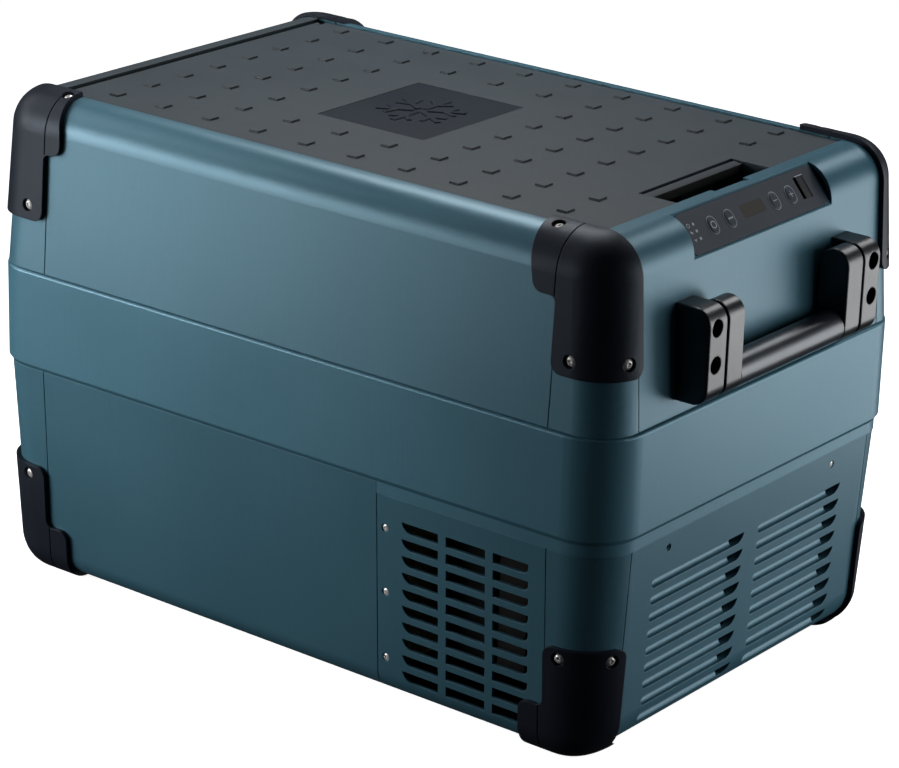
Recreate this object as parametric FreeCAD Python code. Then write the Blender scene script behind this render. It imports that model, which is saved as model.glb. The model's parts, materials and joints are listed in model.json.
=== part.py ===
import FreeCAD, Part
import math
import os

# Compressor cooler: a lidded insulated box with a cooling machine in one end.
# Millimetres.  The origin is on the floor under the middle of the box, +Z is up,
# +X points to the end with the control panel, -Y to the long side called front.
# Heights below are counted from the housing's underside.  The guards stand a
# little lower, and the hinge end stands a little further out, so the finished
# pieces are lifted and centred by those amounts when written.

V = FreeCAD.Vector
X_AXIS, Y_AXIS, Z_AXIS = V(1, 0, 0), V(0, 1, 0), V(0, 0, 1)

# ---- driving dimensions -------------------------------------------------
HALF_L = 307.0           # belt band, from the Y axis to its control end
HINGE_REACH = 5.0        # the hinge end stands this much further out
HALF_W = 199.0           # half width of the belt band
BAND_TOP = 259.0
BAND_CREASE = 176.0      # the band's lower edge slopes inwards below this
BAND_BOTTOM = 166.5
BAND_EDGE = 180.0        # foot of the belt's upright face
BAND_T = 6.3             # thickness of the band
BAND_PROUD = 3.0         # how far it stands out from the housings
TOP_Z = 400.0
BODY_BOTTOM = 0.0
UPPER_DRAFT = 0.056      # inward lean of the upper housing, mm per mm
LOWER_DRAFT = 0.045
CORNER_R = 38.0          # vertical corners of the lower housing, in plan
UPPER_R = 33.0           # and of the upper housing
TOP_R = 28.0             # rounded top edge
BOTTOM_R_LONG = 19.0     # rounded bottom edge along the long sides
BOTTOM_R_END = 32.0      # and along the ends
SKIN = 3.0               # thickness of the outer panels
SEAM = 0.8
POST_X = 250.0           # seams between corner posts and panels
POST_Y = 160.0
LOW_POST_X = 252.6

LID_TOP = 398.4          # the lid lies a little below the rim
LID_X = 261.2            # lid edge at the control end
LID_Y = 159.0
LID_GAP = 1.2
LID_UNDER = 372.6        # underside of the lid's rim
EMBLEM_X, EMBLEM_HALF_W = -27.5, 63.5
HINGE_X = -264.0
HINGE_R = 4.0
HINGE_Z = LID_TOP - HINGE_R
HINGE_PIN_R = 2.0
RUN = 0.05               # radial running clearance of a pivot

RIM_TOP, RIM_BOTTOM = 370.0, 364.0
WELL_X0, WELL_X1 = -246.0, 60.0
WELL_FLOOR = 60.0
SHELF_X1, SHELF_Z = 210.0, 215.0
WELL_Y = 138.0
LINER_T = 2.0
BAY_X0, BAY_TOP = 88.0, 184.0     # machine bay under the shelf

GUARD_T = 4.2            # thickness of the corner guards, and how far they stand proud
GUARD_GAP = 0.2
UP_GUARD_Z = 302.0
UP_FLANGE_Z = 358.0
UP_SCREW_Z, LOW_SCREW_Z = 313.6, 82.6
LOW_GUARD_Z = 91.0
GUARD_HOLE_R = 2.2
LOW_FLANGE_X, LOW_FLANGE_Z = 231.5, 40.0
FOOT_Y = 146.0           # how far in the lower guards reach under the housing

VENT_X0, VENT_X1 = 94.4, 252.2
VENT_ROWS, VENT_PITCH, VENT_FIRST, SLOT_H = 10, 13.8, 148.8, 8.0
VENT_COLUMNS = ((118.5, 153.0), (160.4, 197.2), (204.4, 237.0))
VENT_SCREWS_Z = (31.5, 86.4, 139.6)
LOUVRE_ROWS, LOUVRE_PITCH = 9, 13.75
LOUVRE_FIRST = 131.2
LOUVRE_COLUMNS = ((-130.0, -9.0), (10.0, 126.5))
TROUGH_HALF = 3.8
TROUGH_R = 4.5
TROUGH_DEPTH = 6.5        # depth of the pressed troughs' backing

PIVOT_X, PIVOT_Z, GRIP_Z = 317.0, 332.0, 284.2
GRIP_R = 13.0
ARM_Y0, ARM_Y1 = 69.5, 90.0
MOUNT_Y0, MOUNT_Y1 = 92.6, 115.0
HOLE_Y = 105.0
HOLE_Z = (302.0, 330.0)
HOLE_R = 6.8
PIVOT_R = 4.0
MOUNT_SCREW_R = 3.0

PANEL_MID = V(286.7, 0, 385.7)    # middle of the control panel's face
PANEL_TILT = 50.5                 # degrees that its normal leans from vertical
PANEL_HALF_W, PANEL_HALF_H = 88.6, 16.6
BUTTON_Y = {"button_power": -52.9, "button_set": -30.7, "button_minus": 28.3, "button_plus": 50.2}
BUTTON_HALF_W, BUTTON_HALF_H = 4.6, 6.6
USB_HINGE_X = 73.9

PARTS = {}


def box(x0, x1, y0, y1, z0, z1):
    return Part.makeBox(x1 - x0, y1 - y0, z1 - z0, V(x0, y0, z0))


def rod(radius, start, end):
    axis = V(*end) - V(*start)
    return Part.makeCylinder(radius, axis.Length, V(*start), axis)


def mirrored_x(shape):
    return shape.mirror(V(0, 0, 0), X_AXIS)


def mirrored_y(shape):
    return shape.mirror(V(0, 0, 0), Y_AXIS)


def at_end(shape, end):
    """A shape set out for the control end, end 1, or for the hinge end, end -1."""
    return shape if end > 0 else mirrored_x(shape)


def to_hinge_end(shape):
    """A piece that stands on the control end, repeated on the hinge end's face."""
    return mirrored_x(shape).translated(V(-HINGE_REACH, 0, 0))


def both_sides(shapes):
    return list(shapes) + [mirrored_y(shape) for shape in shapes]


def fuse(shapes):
    result = shapes[0]
    for shape in shapes[1:]:
        result = result.fuse(shape)
    return result.removeSplitter()


def rounded_wire(hx, hy, r, z, cx=0.0, cy=0.0):
    """A rectangle with round corners, in a level plane."""
    k = r * (1 - math.sqrt(0.5))
    edges = []
    corners = ((1, 1), (-1, 1), (-1, -1), (1, -1))
    starts, mids, ends = [], [], []
    for n, (sx, sy) in enumerate(corners):
        along_x = V(cx + sx * (hx - r), cy + sy * hy, z)
        along_y = V(cx + sx * hx, cy + sy * (hy - r), z)
        mids.append(V(cx + sx * (hx - k), cy + sy * (hy - k), z))
        starts.append(along_y if n % 2 == 0 else along_x)
        ends.append(along_x if n % 2 == 0 else along_y)
    for n in range(4):
        edges.append(Part.Arc(starts[n], mids[n], ends[n]).toShape())
        edges.append(Part.makeLine(ends[n], starts[(n + 1) % 4]))
    return Part.Wire(edges)


def rounded_prism(hx, hy, r, z0, z1, cx=0.0, cy=0.0):
    face = Part.Face(rounded_wire(hx, hy, r, z0, cx, cy))
    return face.extrude(V(0, 0, z1 - z0))


def loft(sections):
    """Housing section outlines given by length to the control end, half width, corner
    radius and height, joined by straight walls."""
    wires = []
    for reach, half_w, r, z in sections:
        wires.append(rounded_wire(reach + HINGE_REACH / 2, half_w, r, z, -HINGE_REACH / 2))
    return Part.makeLoft(wires, True, True)


def housing_prism(reach, half_w, r, z0, z1):
    return rounded_prism(reach + HINGE_REACH / 2, half_w, r, z0, z1, -HINGE_REACH / 2)


def fillet_level(solid, z, radius):
    """Rounds every edge that lies in the level plane z."""
    edges = []
    for edge in solid.Edges:
        bb = edge.BoundBox
        if abs(bb.ZMin - z) < 1e-4 and abs(bb.ZMax - z) < 1e-4:
            edges.append(edge)
    return solid.makeFillet(radius, edges)


def fillet_bottom(solid, z, grow):
    """Rounds the bottom rim with one radius on long sides, another on the ends,
    and an even change from one to the other round each corner."""
    r_long, r_end = BOTTOM_R_LONG + grow, BOTTOM_R_END + grow
    widest = solid.BoundBox.XMax - CORNER_R - grow - 1.0
    sizes = []
    for index, edge in enumerate(solid.Edges, 1):
        bb = edge.BoundBox
        if abs(bb.ZMin - z) > 1e-4 or abs(bb.ZMax - z) > 1e-4:
            continue
        ends = [edge.valueAt(t) for t in (edge.FirstParameter, edge.LastParameter)]
        radii = []
        for point in ends:
            on_end = abs(point.x) > widest + CORNER_R / 2
            radii.append(r_end if on_end else r_long)
        sizes.append((index, radii[0], radii[1]))
    document = FreeCAD.newDocument()
    base = document.addObject("Part::Feature", "Base")
    base.Shape = solid
    fillet = document.addObject("Part::Fillet", "Rim")
    fillet.Base = base
    fillet.Edges = sizes
    document.recompute()
    result = fillet.Shape.copy()
    FreeCAD.closeDocument(document.Name)
    return result.Solids[0]


def upper_half(z):
    lean = UPPER_DRAFT * (z - BAND_TOP)
    return HALF_L - BAND_PROUD - lean, HALF_W - BAND_PROUD - lean


def lower_half(z):
    lean = LOWER_DRAFT * (BAND_CREASE - z)
    return HALF_L - BAND_PROUD - lean, HALF_W - BAND_PROUD - lean


def upper_body(offset, z0=BAND_TOP + 0.2):
    """Solid of the upper housing's outside, grown by offset."""
    top = TOP_Z + offset
    lo, hi = upper_half(z0), upper_half(top)
    solid = loft([(lo[0] + offset, lo[1] + offset, UPPER_R + offset, z0),
                  (hi[0] + offset, hi[1] + offset, UPPER_R + offset, top)])
    return fillet_level(solid, top, TOP_R + offset)


def lower_body(offset, z1=BAND_CREASE - 0.2, bottom=None):
    bottom = BODY_BOTTOM - offset if bottom is None else bottom
    lo, hi = lower_half(bottom), lower_half(z1)
    solid = loft([(lo[0] + offset, lo[1] + offset, CORNER_R + offset, bottom),
                  (hi[0] + offset, hi[1] + offset, CORNER_R + offset, z1)])
    return fillet_bottom(solid, bottom, max(offset, -6.5))


def mask_xz(points, y0, y1, radii=()):
    """A prism along Y over an outline in X and Z; radii rounds chosen corners."""
    return rounded_outline([V(x, y0, z) for x, z in points], V(0, y1 - y0, 0), radii)


def mask_yz(points, x0, x1, radii=()):
    return rounded_outline([V(x0, y, z) for y, z in points], V(x1 - x0, 0, 0), radii)


def rounded_outline(points, extrusion, radii):
    solid = Part.Face(Part.makePolygon(points + [points[0]])).extrude(extrusion)
    for index, radius in dict(radii).items():
        near = [e for e in solid.Edges
                if e.Length > 0.999 * extrusion.Length
                and min(v.Point.distanceToPoint(points[index]) for v in e.Vertexes) < 1e-3]
        if near:
            solid = solid.makeFillet(radius, near)
    return solid


def button_head(radius, height):
    """Domed screw head on the XY plane with a hexagon socket."""
    ball_r = (radius ** 2 + height ** 2) / (2 * height)
    ball = Part.makeSphere(ball_r, V(0, 0, height - ball_r))
    head = ball.common(Part.makeCylinder(radius, height + 1))
    points = [V(radius * 0.45 * math.cos(math.radians(60 * k)),
                radius * 0.45 * math.sin(math.radians(60 * k)), height * 0.35) for k in range(7)]
    socket = Part.Face(Part.makePolygon(points)).extrude(V(0, 0, height))
    return head.cut(socket)


def aimed(shape, position, direction):
    """Moves a shape made on the XY plane so that its +Z faces direction."""
    turn = FreeCAD.Rotation(Z_AXIS, V(*direction))
    moved = shape.copy()
    moved.Placement = FreeCAD.Placement(V(*position), turn)
    return moved


def panel_place(shape):
    """Local X runs along the panel, Y up its slope, Z out of its face."""
    a = math.radians(PANEL_TILT)
    m = FreeCAD.Matrix(0, -math.cos(a), math.sin(a), PANEL_MID.x,
                       1, 0, 0, PANEL_MID.y,
                       0, math.sin(a), math.cos(a), PANEL_MID.z,
                       0, 0, 0, 1)
    placed = shape.copy()
    placed.Placement = FreeCAD.Placement(m)
    return placed


def put(name, shapes):
    """Keeps a node's solids, whole and singly, for export."""
    solids = []
    for shape in shapes if isinstance(shapes, list) else [shapes]:
        solids += shape.Solids
    PARTS[name] = solids


def drilled(shape, sites, radius, depth=9.0):
    """Cuts clearance holes at screw seats given for the +X -Y corner."""
    for seat, out in sites:
        hole = aimed(Part.makeCylinder(radius, 2 * depth), V(*seat) - V(*out) * depth, out)
        shape = shape.cut(hole)
    return shape


# ---- outer skin -----------------------------------------------------------

def make_upper_skin():
    outer, inner = upper_body(0.0), upper_body(-SKIN)
    skin = outer.cut(inner.fuse(box(-295, 290, -180, 180, 250, 300)))
    opening = box(HINGE_X - HINGE_R - 0.5, LID_X + LID_GAP, -LID_Y - LID_GAP, LID_Y + LID_GAP, 360, 410)
    skin = skin.cut(opening)

    half = SEAM / 2
    side = box(-POST_X + half, POST_X - half, -210, -POST_Y - 0.01, 250, 410)
    front = skin.common(side)
    for end in (1, -1):
        front = drilled(front, guard_screw_sites(end)[2:3], GUARD_HOLE_R)
    put("upper_side_panels", [front, mirrored_y(front)])

    posts = []
    for end in (1, -1):
        post = skin.common(at_end(box(POST_X + half, 340, -210, -POST_Y - half, 250, 410), end))
        posts.append(drilled(post, guard_screw_sites(end)[:2], GUARD_HOLE_R))
    put("upper_corner_posts", both_sides(posts))

    hinge_end = skin.common(box(-340, -POST_X, -POST_Y + half, POST_Y - half, 250, 410))
    sites = [((302, s * HOLE_Y, z), (1, 0, 0)) for s in (-1, 1) for z in HOLE_Z]
    plain = mirrored_x(hinge_end.common(box(-340, -260, -200, 200, 250, 352)))
    put("upper_end_panel_hinge", mirrored_x(drilled(plain, sites, MOUNT_SCREW_R)))
    cover = hinge_end.common(box(-340, -260, -200, 200, 352.6, 410))
    lug = box(-296, HINGE_X - HINGE_R - 1, -6, 6, 380, TOP_Z - SKIN)
    lugs = [lug.translated(V(0, y, 0)) for y in (-100, 0, 100)]
    cover = cover.fuse([l.common(outer) for l in lugs])
    eyes = []
    for y in (-150.6, 150.6):
        knuckle = rod(HINGE_R, (HINGE_X, y - 3, HINGE_Z), (HINGE_X, y + 3, HINGE_Z))
        web = box(-285, HINGE_X, y - 3, y + 3, HINGE_Z - HINGE_R, HINGE_Z + 1)
        eyes.append(knuckle.fuse(web))
    cover = cover.fuse(eyes)
    bore = rod(HINGE_PIN_R, (HINGE_X, -153, HINGE_Z), (HINGE_X, 153, HINGE_Z))
    put("hinge_cover", cover.cut(bore))

    control = skin.common(box(POST_X, 320, -POST_Y + half, POST_Y - half, 250, 410))
    slab = panel_place(Part.makeBox(190, 50, 4.6, V(-95, -25, -5.6)))
    floor = slab.common(outer).cut(opening).common(box(250, 320, -100, 100, RIM_TOP + 0.4, 410))
    scoop = panel_place(Part.makeBox(183, 80, 20, V(-91.5, -40, -1.0)))
    control = control.fuse(floor).cut(scoop)
    pocket = rounded_prism(PANEL_HALF_W + 0.2, PANEL_HALF_H + 0.2, 4.2, -2.7, 5)
    window = rounded_prism(PANEL_HALF_W - 4, PANEL_HALF_H - 3.5, 3, -9, 5)
    control = control.cut([panel_place(pocket), panel_place(window)])
    notch = box(250, 268, -22, 22, 397.8, 410)
    put("upper_end_panel_control", drilled(control.cut(notch), sites, MOUNT_SCREW_R))


def make_band():
    """The belt: an upright face, a chamfer down to its crease, and a strip below that
    closes the joint over the vents and the control end only."""
    strip = housing_prism(HALF_L - BAND_PROUD, HALF_W - BAND_PROUD, CORNER_R, BAND_BOTTOM, BAND_CREASE)
    strip = strip.cut(box(-340, VENT_X0, -210, 210, BAND_BOTTOM - 1, BAND_CREASE))
    chamfer = loft([(HALF_L - BAND_PROUD, HALF_W - BAND_PROUD, CORNER_R, BAND_CREASE),
                    (HALF_L, HALF_W, CORNER_R + BAND_PROUD, BAND_EDGE)])
    face = housing_prism(HALF_L, HALF_W, CORNER_R + BAND_PROUD, BAND_EDGE, BAND_TOP)
    outer = fillet_level(fuse([face, chamfer]), BAND_TOP, 2.2).fuse(strip)
    inner = housing_prism(HALF_L - BAND_T, HALF_W - BAND_T, CORNER_R - 3, BAND_BOTTOM - 1, BAND_TOP + 1)
    put("belt_band", outer.cut(inner).removeSplitter())


def vent_slots(y_outer):
    """Slots with square tops, a long curved left end and a round right end."""
    cutters = []
    for row in range(VENT_ROWS):
        z = VENT_FIRST - row * VENT_PITCH
        for column, (x0, x1) in enumerate(VENT_COLUMNS):
            lead = 9.0 if column == 0 else 0.0
            tail = 5.5 if column == 2 else 0.0
            cutters.append(slot_prism_xz(x0, x1, z, lead, tail, y_outer))
    return cutters


def slot_prism_xz(x0, x1, z_top, lead, tail, y_outer):
    z_low = z_top - SLOT_H
    edges = [Part.makeLine(V(x0, 0, z_top), V(x1, 0, z_top))]
    if tail:
        k = tail * (1 - math.sqrt(0.5))
        edges.append(Part.makeLine(V(x1, 0, z_top), V(x1, 0, z_low + tail)))
        edges.append(Part.Arc(V(x1, 0, z_low + tail), V(x1 - k, 0, z_low + k), V(x1 - tail, 0, z_low)).toShape())
    else:
        edges.append(Part.makeLine(V(x1, 0, z_top), V(x1, 0, z_low)))
    edges.append(Part.makeLine(V(x1 - tail, 0, z_low), V(x0 + lead, 0, z_low)))
    if lead:
        middle = V(x0 + lead * 0.33, 0, z_top - SLOT_H * 0.66)
        edges.append(Part.Arc(V(x0 + lead, 0, z_low), middle, V(x0, 0, z_top)).toShape())
    else:
        edges.append(Part.makeLine(V(x0, 0, z_low), V(x0, 0, z_top)))
    face = Part.Face(Part.Wire(edges))
    return face.extrude(V(0, 40, 0)).translated(V(0, y_outer, 0))


def louvre_cutters():
    """For each slot a pressed trough along Y, then an open pointed throat at its +Y end."""
    cutters = []
    h = TROUGH_HALF
    for row in range(LOUVRE_ROWS):
        z = LOUVRE_FIRST - row * LOUVRE_PITCH
        face_x = lower_half(z)[0]
        for y0, y1 in LOUVRE_COLUMNS:
            neck = y1 - 13.0
            bend = Part.Arc(V(0, y0 + h, z + h), V(0, y0, z), V(0, y0 + h, z - h)).toShape()
            edges = [bend, Part.makeLine(V(0, y0 + h, z - h), V(0, neck, z - h)),
                     Part.makeLine(V(0, neck, z - h), V(0, neck, z + h)),
                     Part.makeLine(V(0, neck, z + h), V(0, y0 + h, z + h))]
            outline = Part.Face(Part.Wire(edges)).extrude(V(20, 0, 0)).translated(V(face_x - 10, 0, 0))
            cutters.append(outline.common(rod(TROUGH_R, (face_x, y0 - 5, z), (face_x, neck + 5, z))))
            foot = y1 - 8.5
            curve = Part.Arc(V(0, foot, z - h), V(0, y1 - 2.6, z - 0.9), V(0, y1, z + h)).toShape()
            edges = [curve, Part.makeLine(V(0, y1, z + h), V(0, neck - 1, z + h)),
                     Part.makeLine(V(0, neck - 1, z + h), V(0, neck - 1, z - h)),
                     Part.makeLine(V(0, neck - 1, z - h), V(0, foot, z - h))]
            cutters.append(Part.Face(Part.Wire(edges)).extrude(V(30, 0, 0)).translated(V(face_x - 20, 0, 0)))
    return cutters


def make_lower_skin():
    outer, inner = lower_body(0.0), lower_body(-SKIN, bottom=BODY_BOTTOM + SKIN)
    skin = outer.cut(inner).cut(rounded_prism(262, 168, 10, BODY_BOTTOM - 5, BODY_BOTTOM + SKIN + 5))
    half = SEAM / 2
    under_strip = BAND_BOTTOM - 0.2
    front = skin.common(box(-LOW_POST_X + half, VENT_X0 - half, -210, -POST_Y - 0.01, -5, 180))
    put("lower_side_panels", [front, mirrored_y(front)])

    vent = skin.common(box(VENT_X0 + half, LOW_POST_X - half, -210, -POST_Y - 0.01, -5, under_strip))
    vent = vent.cut(vent_slots(-200))
    for z in VENT_SCREWS_Z:
        vent = vent.cut(rod(1.7, (102.2, -180, z), (102.2, -205, z)))
        vent = vent.cut(rod(3.3, (102.2, -210, z), (102.2, -lower_half(z)[1] + 1.3, z)))
    put("side_vent_panels", [vent, mirrored_y(vent)])

    posts = []
    for end, top in ((1, under_strip), (-1, 180)):
        post = skin.common(at_end(box(LOW_POST_X + half, 340, -210, -POST_Y - half, -5, top), end))
        posts.append(drilled(post, guard_screw_sites(end)[3:], GUARD_HOLE_R))
    put("lower_corner_posts", both_sides(posts))

    end = skin.common(box(LOW_POST_X, 320, -POST_Y + half, POST_Y - half, -5, under_strip))
    put("lower_end_panel_hinge", skin.common(box(-340, -LOW_POST_X, -POST_Y + half, POST_Y - half, -5, 180)))
    backing = outer.cut(lower_body(-TROUGH_DEPTH, bottom=BODY_BOTTOM + TROUGH_DEPTH))
    louvres = end.fuse(backing.common(box(LOW_POST_X, 320, -140, 140, 18, 142))).removeSplitter()
    for cutter in louvre_cutters():
        louvres = louvres.cut(cutter)
    for y in (-112.0, 110.5):
        x = lower_half(155.2)[0]
        louvres = louvres.cut([rod(1.7, (x - 10, y, 155.2), (x + 5, y, 155.2)),
                               rod(3.0, (x - 1.3, y, 155.2), (x + 5, y, 155.2))])
    put("end_louvre_panel", louvres)

    tray = rounded_prism(261.6, 167.6, 9.6, BODY_BOTTOM + 0.4, BODY_BOTTOM + 3.4)
    ribs = [box(x - 2, x + 2, -150, 150, BODY_BOTTOM + 3.4, BODY_BOTTOM + 6.6) for x in (-200, -100, 0)]
    put("base_tray", fuse([tray] + ribs))


# ---- corner guards ----------------------------------------------------------

def corner_site(half, r, turn, z, end):
    """Seat point and outward direction of a screw on a vertical corner at the -Y side;
    turn is its angle round the corner from the long side."""
    a = math.radians(turn)
    reach, half_w = half(z)
    x = reach - r + (r + 1.0) * math.sin(a)
    y = -(half_w - r) - (r + 1.0) * math.cos(a)
    x += HINGE_REACH if end < 0 else 0.0
    return (x * end, y, z), (math.sin(a) * end, -math.cos(a), 0)


def guard_screw_sites(end):
    """Seat point and outward direction of each screw at the -Y corner of one end."""
    a = math.radians(19)
    rise = TOP_R + 1.0
    top_x = 234.0 if end > 0 else -247.0
    top = (top_x, -LID_Y - 1.1 - rise * math.sin(a), TOP_Z - TOP_R + rise * math.cos(a))
    upper_side = ((267.0 * end, -upper_half(UP_SCREW_Z)[1] - 1.0, UP_SCREW_Z), (0, -1, 0))
    return [upper_side,
            corner_site(upper_half, UPPER_R, 69.0, UP_SCREW_Z, end),
            (top, (0, -math.sin(a), math.cos(a))),
            corner_site(lower_half, CORNER_R, 7.0, LOW_SCREW_Z, end),
            corner_site(lower_half, CORNER_R, 64.0, LOW_SCREW_Z, end)]


def guard_recesses(end):
    cuts = []
    for seat, out in guard_screw_sites(end):
        cuts.append(aimed(Part.makeCylinder(5.2, 12), seat, out))
        through = V(*seat) - V(*out) * 4
        cuts.append(aimed(Part.makeCylinder(GUARD_HOLE_R, 12), through, out))
    return cuts


def make_guards():
    shell = upper_body(GUARD_T, BAND_TOP + 20).cut(upper_body(GUARD_GAP, BAND_TOP + 10))
    line = upper_body(GUARD_T + 1, BAND_TOP + 20).cut(upper_body(GUARD_T - 1.1, BAND_TOP + 10))
    line = line.common(box(POST_X - 0.5, POST_X + 0.4, -220, -120, UP_FLANGE_Z, 420))
    face = mask_yz([(-220, 410), (-220, UP_GUARD_Z), (-POST_Y, UP_GUARD_Z), (-POST_Y, 410)],
                   200, 340, {2: 9})
    guards = []
    for end, flange in ((1, ((221.0, 410), (230.0, 366), (230.0, UP_FLANGE_Z))),
                        (-1, ((243.0, 410), (234.0, 376), (234.0, UP_FLANGE_Z)))):
        side = mask_xz(list(flange) + [(POST_X + 1, UP_FLANGE_Z), (POST_X + 1, UP_GUARD_Z),
                                       (340, UP_GUARD_Z), (340, 410)],
                       -220, -120, {1: 30, 2: 9, 3: 5, 4: 9})
        guard = shell.common(at_end(side, end)).common(at_end(face, end)).cut(at_end(line, end))
        for recess in guard_recesses(end):
            guard = guard.cut(recess)
        guards.append(guard)
    put("upper_corner_guards", both_sides(guards))

    shell = lower_body(GUARD_T, 130).cut(lower_body(GUARD_GAP, 140))
    side = mask_xz([(LOW_FLANGE_X, -9), (340, -9), (340, LOW_GUARD_Z), (LOW_POST_X + 1, LOW_GUARD_Z),
                    (LOW_POST_X + 1, LOW_FLANGE_Z), (LOW_FLANGE_X, LOW_FLANGE_Z)],
                   -220, -120, {3: 8, 4: 6, 5: 8})
    face = mask_yz([(-220, LOW_GUARD_Z), (-220, -9), (-FOOT_Y, -9), (-FOOT_Y, 3), (-POST_Y, 3),
                    (-POST_Y, LOW_GUARD_Z)], 200, 340, {5: 8})
    line = lower_body(GUARD_T + 1, 130).cut(lower_body(GUARD_T - 1.1, 140))
    line = line.common(box(POST_X - 0.5, POST_X + 0.4, -220, -POST_Y, 2, LOW_FLANGE_Z))
    guards = []
    for end in (1, -1):
        guard = shell.common(at_end(side, end)).common(at_end(face, end)).cut(at_end(line, end))
        for recess in guard_recesses(end):
            guard = guard.cut(recess)
        guards.append(guard)
    put("lower_corner_guards", both_sides(guards))


def make_guard_screws():
    screws = []
    for end in (1, -1):
        for seat, out in guard_screw_sites(end):
            head = aimed(button_head(4.4, 2.5), V(*seat) + V(*out) * 0.05, out)
            shank = aimed(Part.makeCylinder(2.0, 4.2), V(*seat) - V(*out) * 4.0, out)
            screws += both_sides([head.fuse(shank).Solids[0]])
    put("guard_screws", screws)


def make_vent_screws():
    screws = []
    for z in VENT_SCREWS_Z:
        seat = (102.2, -lower_half(z)[1] + 1.25, z)
        head = aimed(button_head(3.1, 1.1), seat, (0, -1, 0))
        shank = rod(1.6, seat, (102.2, seat[1] + 6, z))
        one = head.fuse(shank)
        screws += [one, mirrored_y(one)]
    x = lower_half(155.2)[0] - 1.25
    one = aimed(button_head(2.8, 1.1), (x, 110.5, 155.2), (1, 0, 0))
    screws.append(one.fuse(rod(1.6, (x - 6, 110.5, 155.2), (x, 110.5, 155.2))))
    put("vent_screws", screws)


# ---- insulation and liner -----------------------------------------------------

def liner_volume(grow):
    well = box(WELL_X0 - grow, WELL_X1 + grow, -WELL_Y - grow, WELL_Y + grow, WELL_FLOOR - grow, RIM_BOTTOM)
    shelf = box(WELL_X0 - grow, SHELF_X1 + grow, -WELL_Y - grow, WELL_Y + grow, SHELF_Z - grow, RIM_BOTTOM)
    solid = well.fuse(shelf).removeSplitter()
    corners = []
    for edge in solid.Edges:
        upright = abs(edge.BoundBox.XLength) < 1e-4 and abs(edge.BoundBox.YLength) < 1e-4
        if upright:
            corners.append(edge)
    return solid.makeFillet(14.0 + grow, corners)


def coil_loops():
    loops = []
    for k in range(6):
        z = 96.0 + 38.0 * k
        x1 = WELL_X1 if z < SHELF_Z - 8 else SHELF_X1
        cx, hx = (WELL_X0 + x1) / 2, (x1 - WELL_X0) / 2 + LINER_T
        hy = WELL_Y + LINER_T
        ring = rounded_prism(hx + 7, hy + 7, 23, z, z + 7, cx).cut(rounded_prism(hx, hy, 16, z, z + 7, cx))
        loops.append(ring)
    riser = box(-60, -52, WELL_Y + LINER_T, WELL_Y + LINER_T + 7, 96, 293)
    return fuse(loops + [riser])


def make_insulation():
    put("inner_liner", liner_volume(LINER_T).cut(liner_volume(0.0).fuse(
        box(WELL_X0, SHELF_X1, -100, 100, RIM_BOTTOM - 1, RIM_BOTTOM + 1))))
    coil = coil_loops()
    put("evaporator_coil", coil)

    gap = SKIN + 0.4
    upper = upper_body(-gap, BAND_TOP + 0.2).common(box(-400, 400, -300, 300, BAND_TOP, RIM_BOTTOM))
    middle = housing_prism(HALF_L - BAND_T - 0.4, HALF_W - BAND_T - 0.4, CORNER_R - 3.4, BAY_TOP, BAND_TOP + 0.6)
    tray_top = BODY_BOTTOM + 7.0
    lower = lower_body(-gap, BAND_BOTTOM - 0.4, bottom=tray_top)
    neck = housing_prism(HALF_L - 11.5, HALF_W - 11.5, CORNER_R - 6, BAND_BOTTOM - 2, BAY_TOP)
    block = fuse([upper, middle, lower.fuse(neck).common(box(-400, BAY_X0, -300, 300, 0, BAY_TOP))])
    put("foam_insulation", block.cut([liner_volume(LINER_T), coil]))


def make_rim():
    plate = upper_body(-SKIN - 0.4, BAND_TOP).common(box(-400, 400, -300, 300, RIM_BOTTOM, RIM_TOP))
    opening = rounded_prism((SHELF_X1 - WELL_X0) / 2, WELL_Y, 14, 350, 380, (SHELF_X1 + WELL_X0) / 2)
    pan = box(LID_X - 42, LID_X - 2, -34, 34, RIM_BOTTOM + 2, RIM_TOP + 1)
    put("rim_collar", plate.cut(opening).cut(pan))


# ---- lid ------------------------------------------------------------------------

LATCH_X0, LATCH_X1 = 227.5, 236.0      # the lifting flap of the latch
LATCH_HALF = 60.0
LATCH_AXIS_Z = LID_TOP - 3.6


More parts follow.
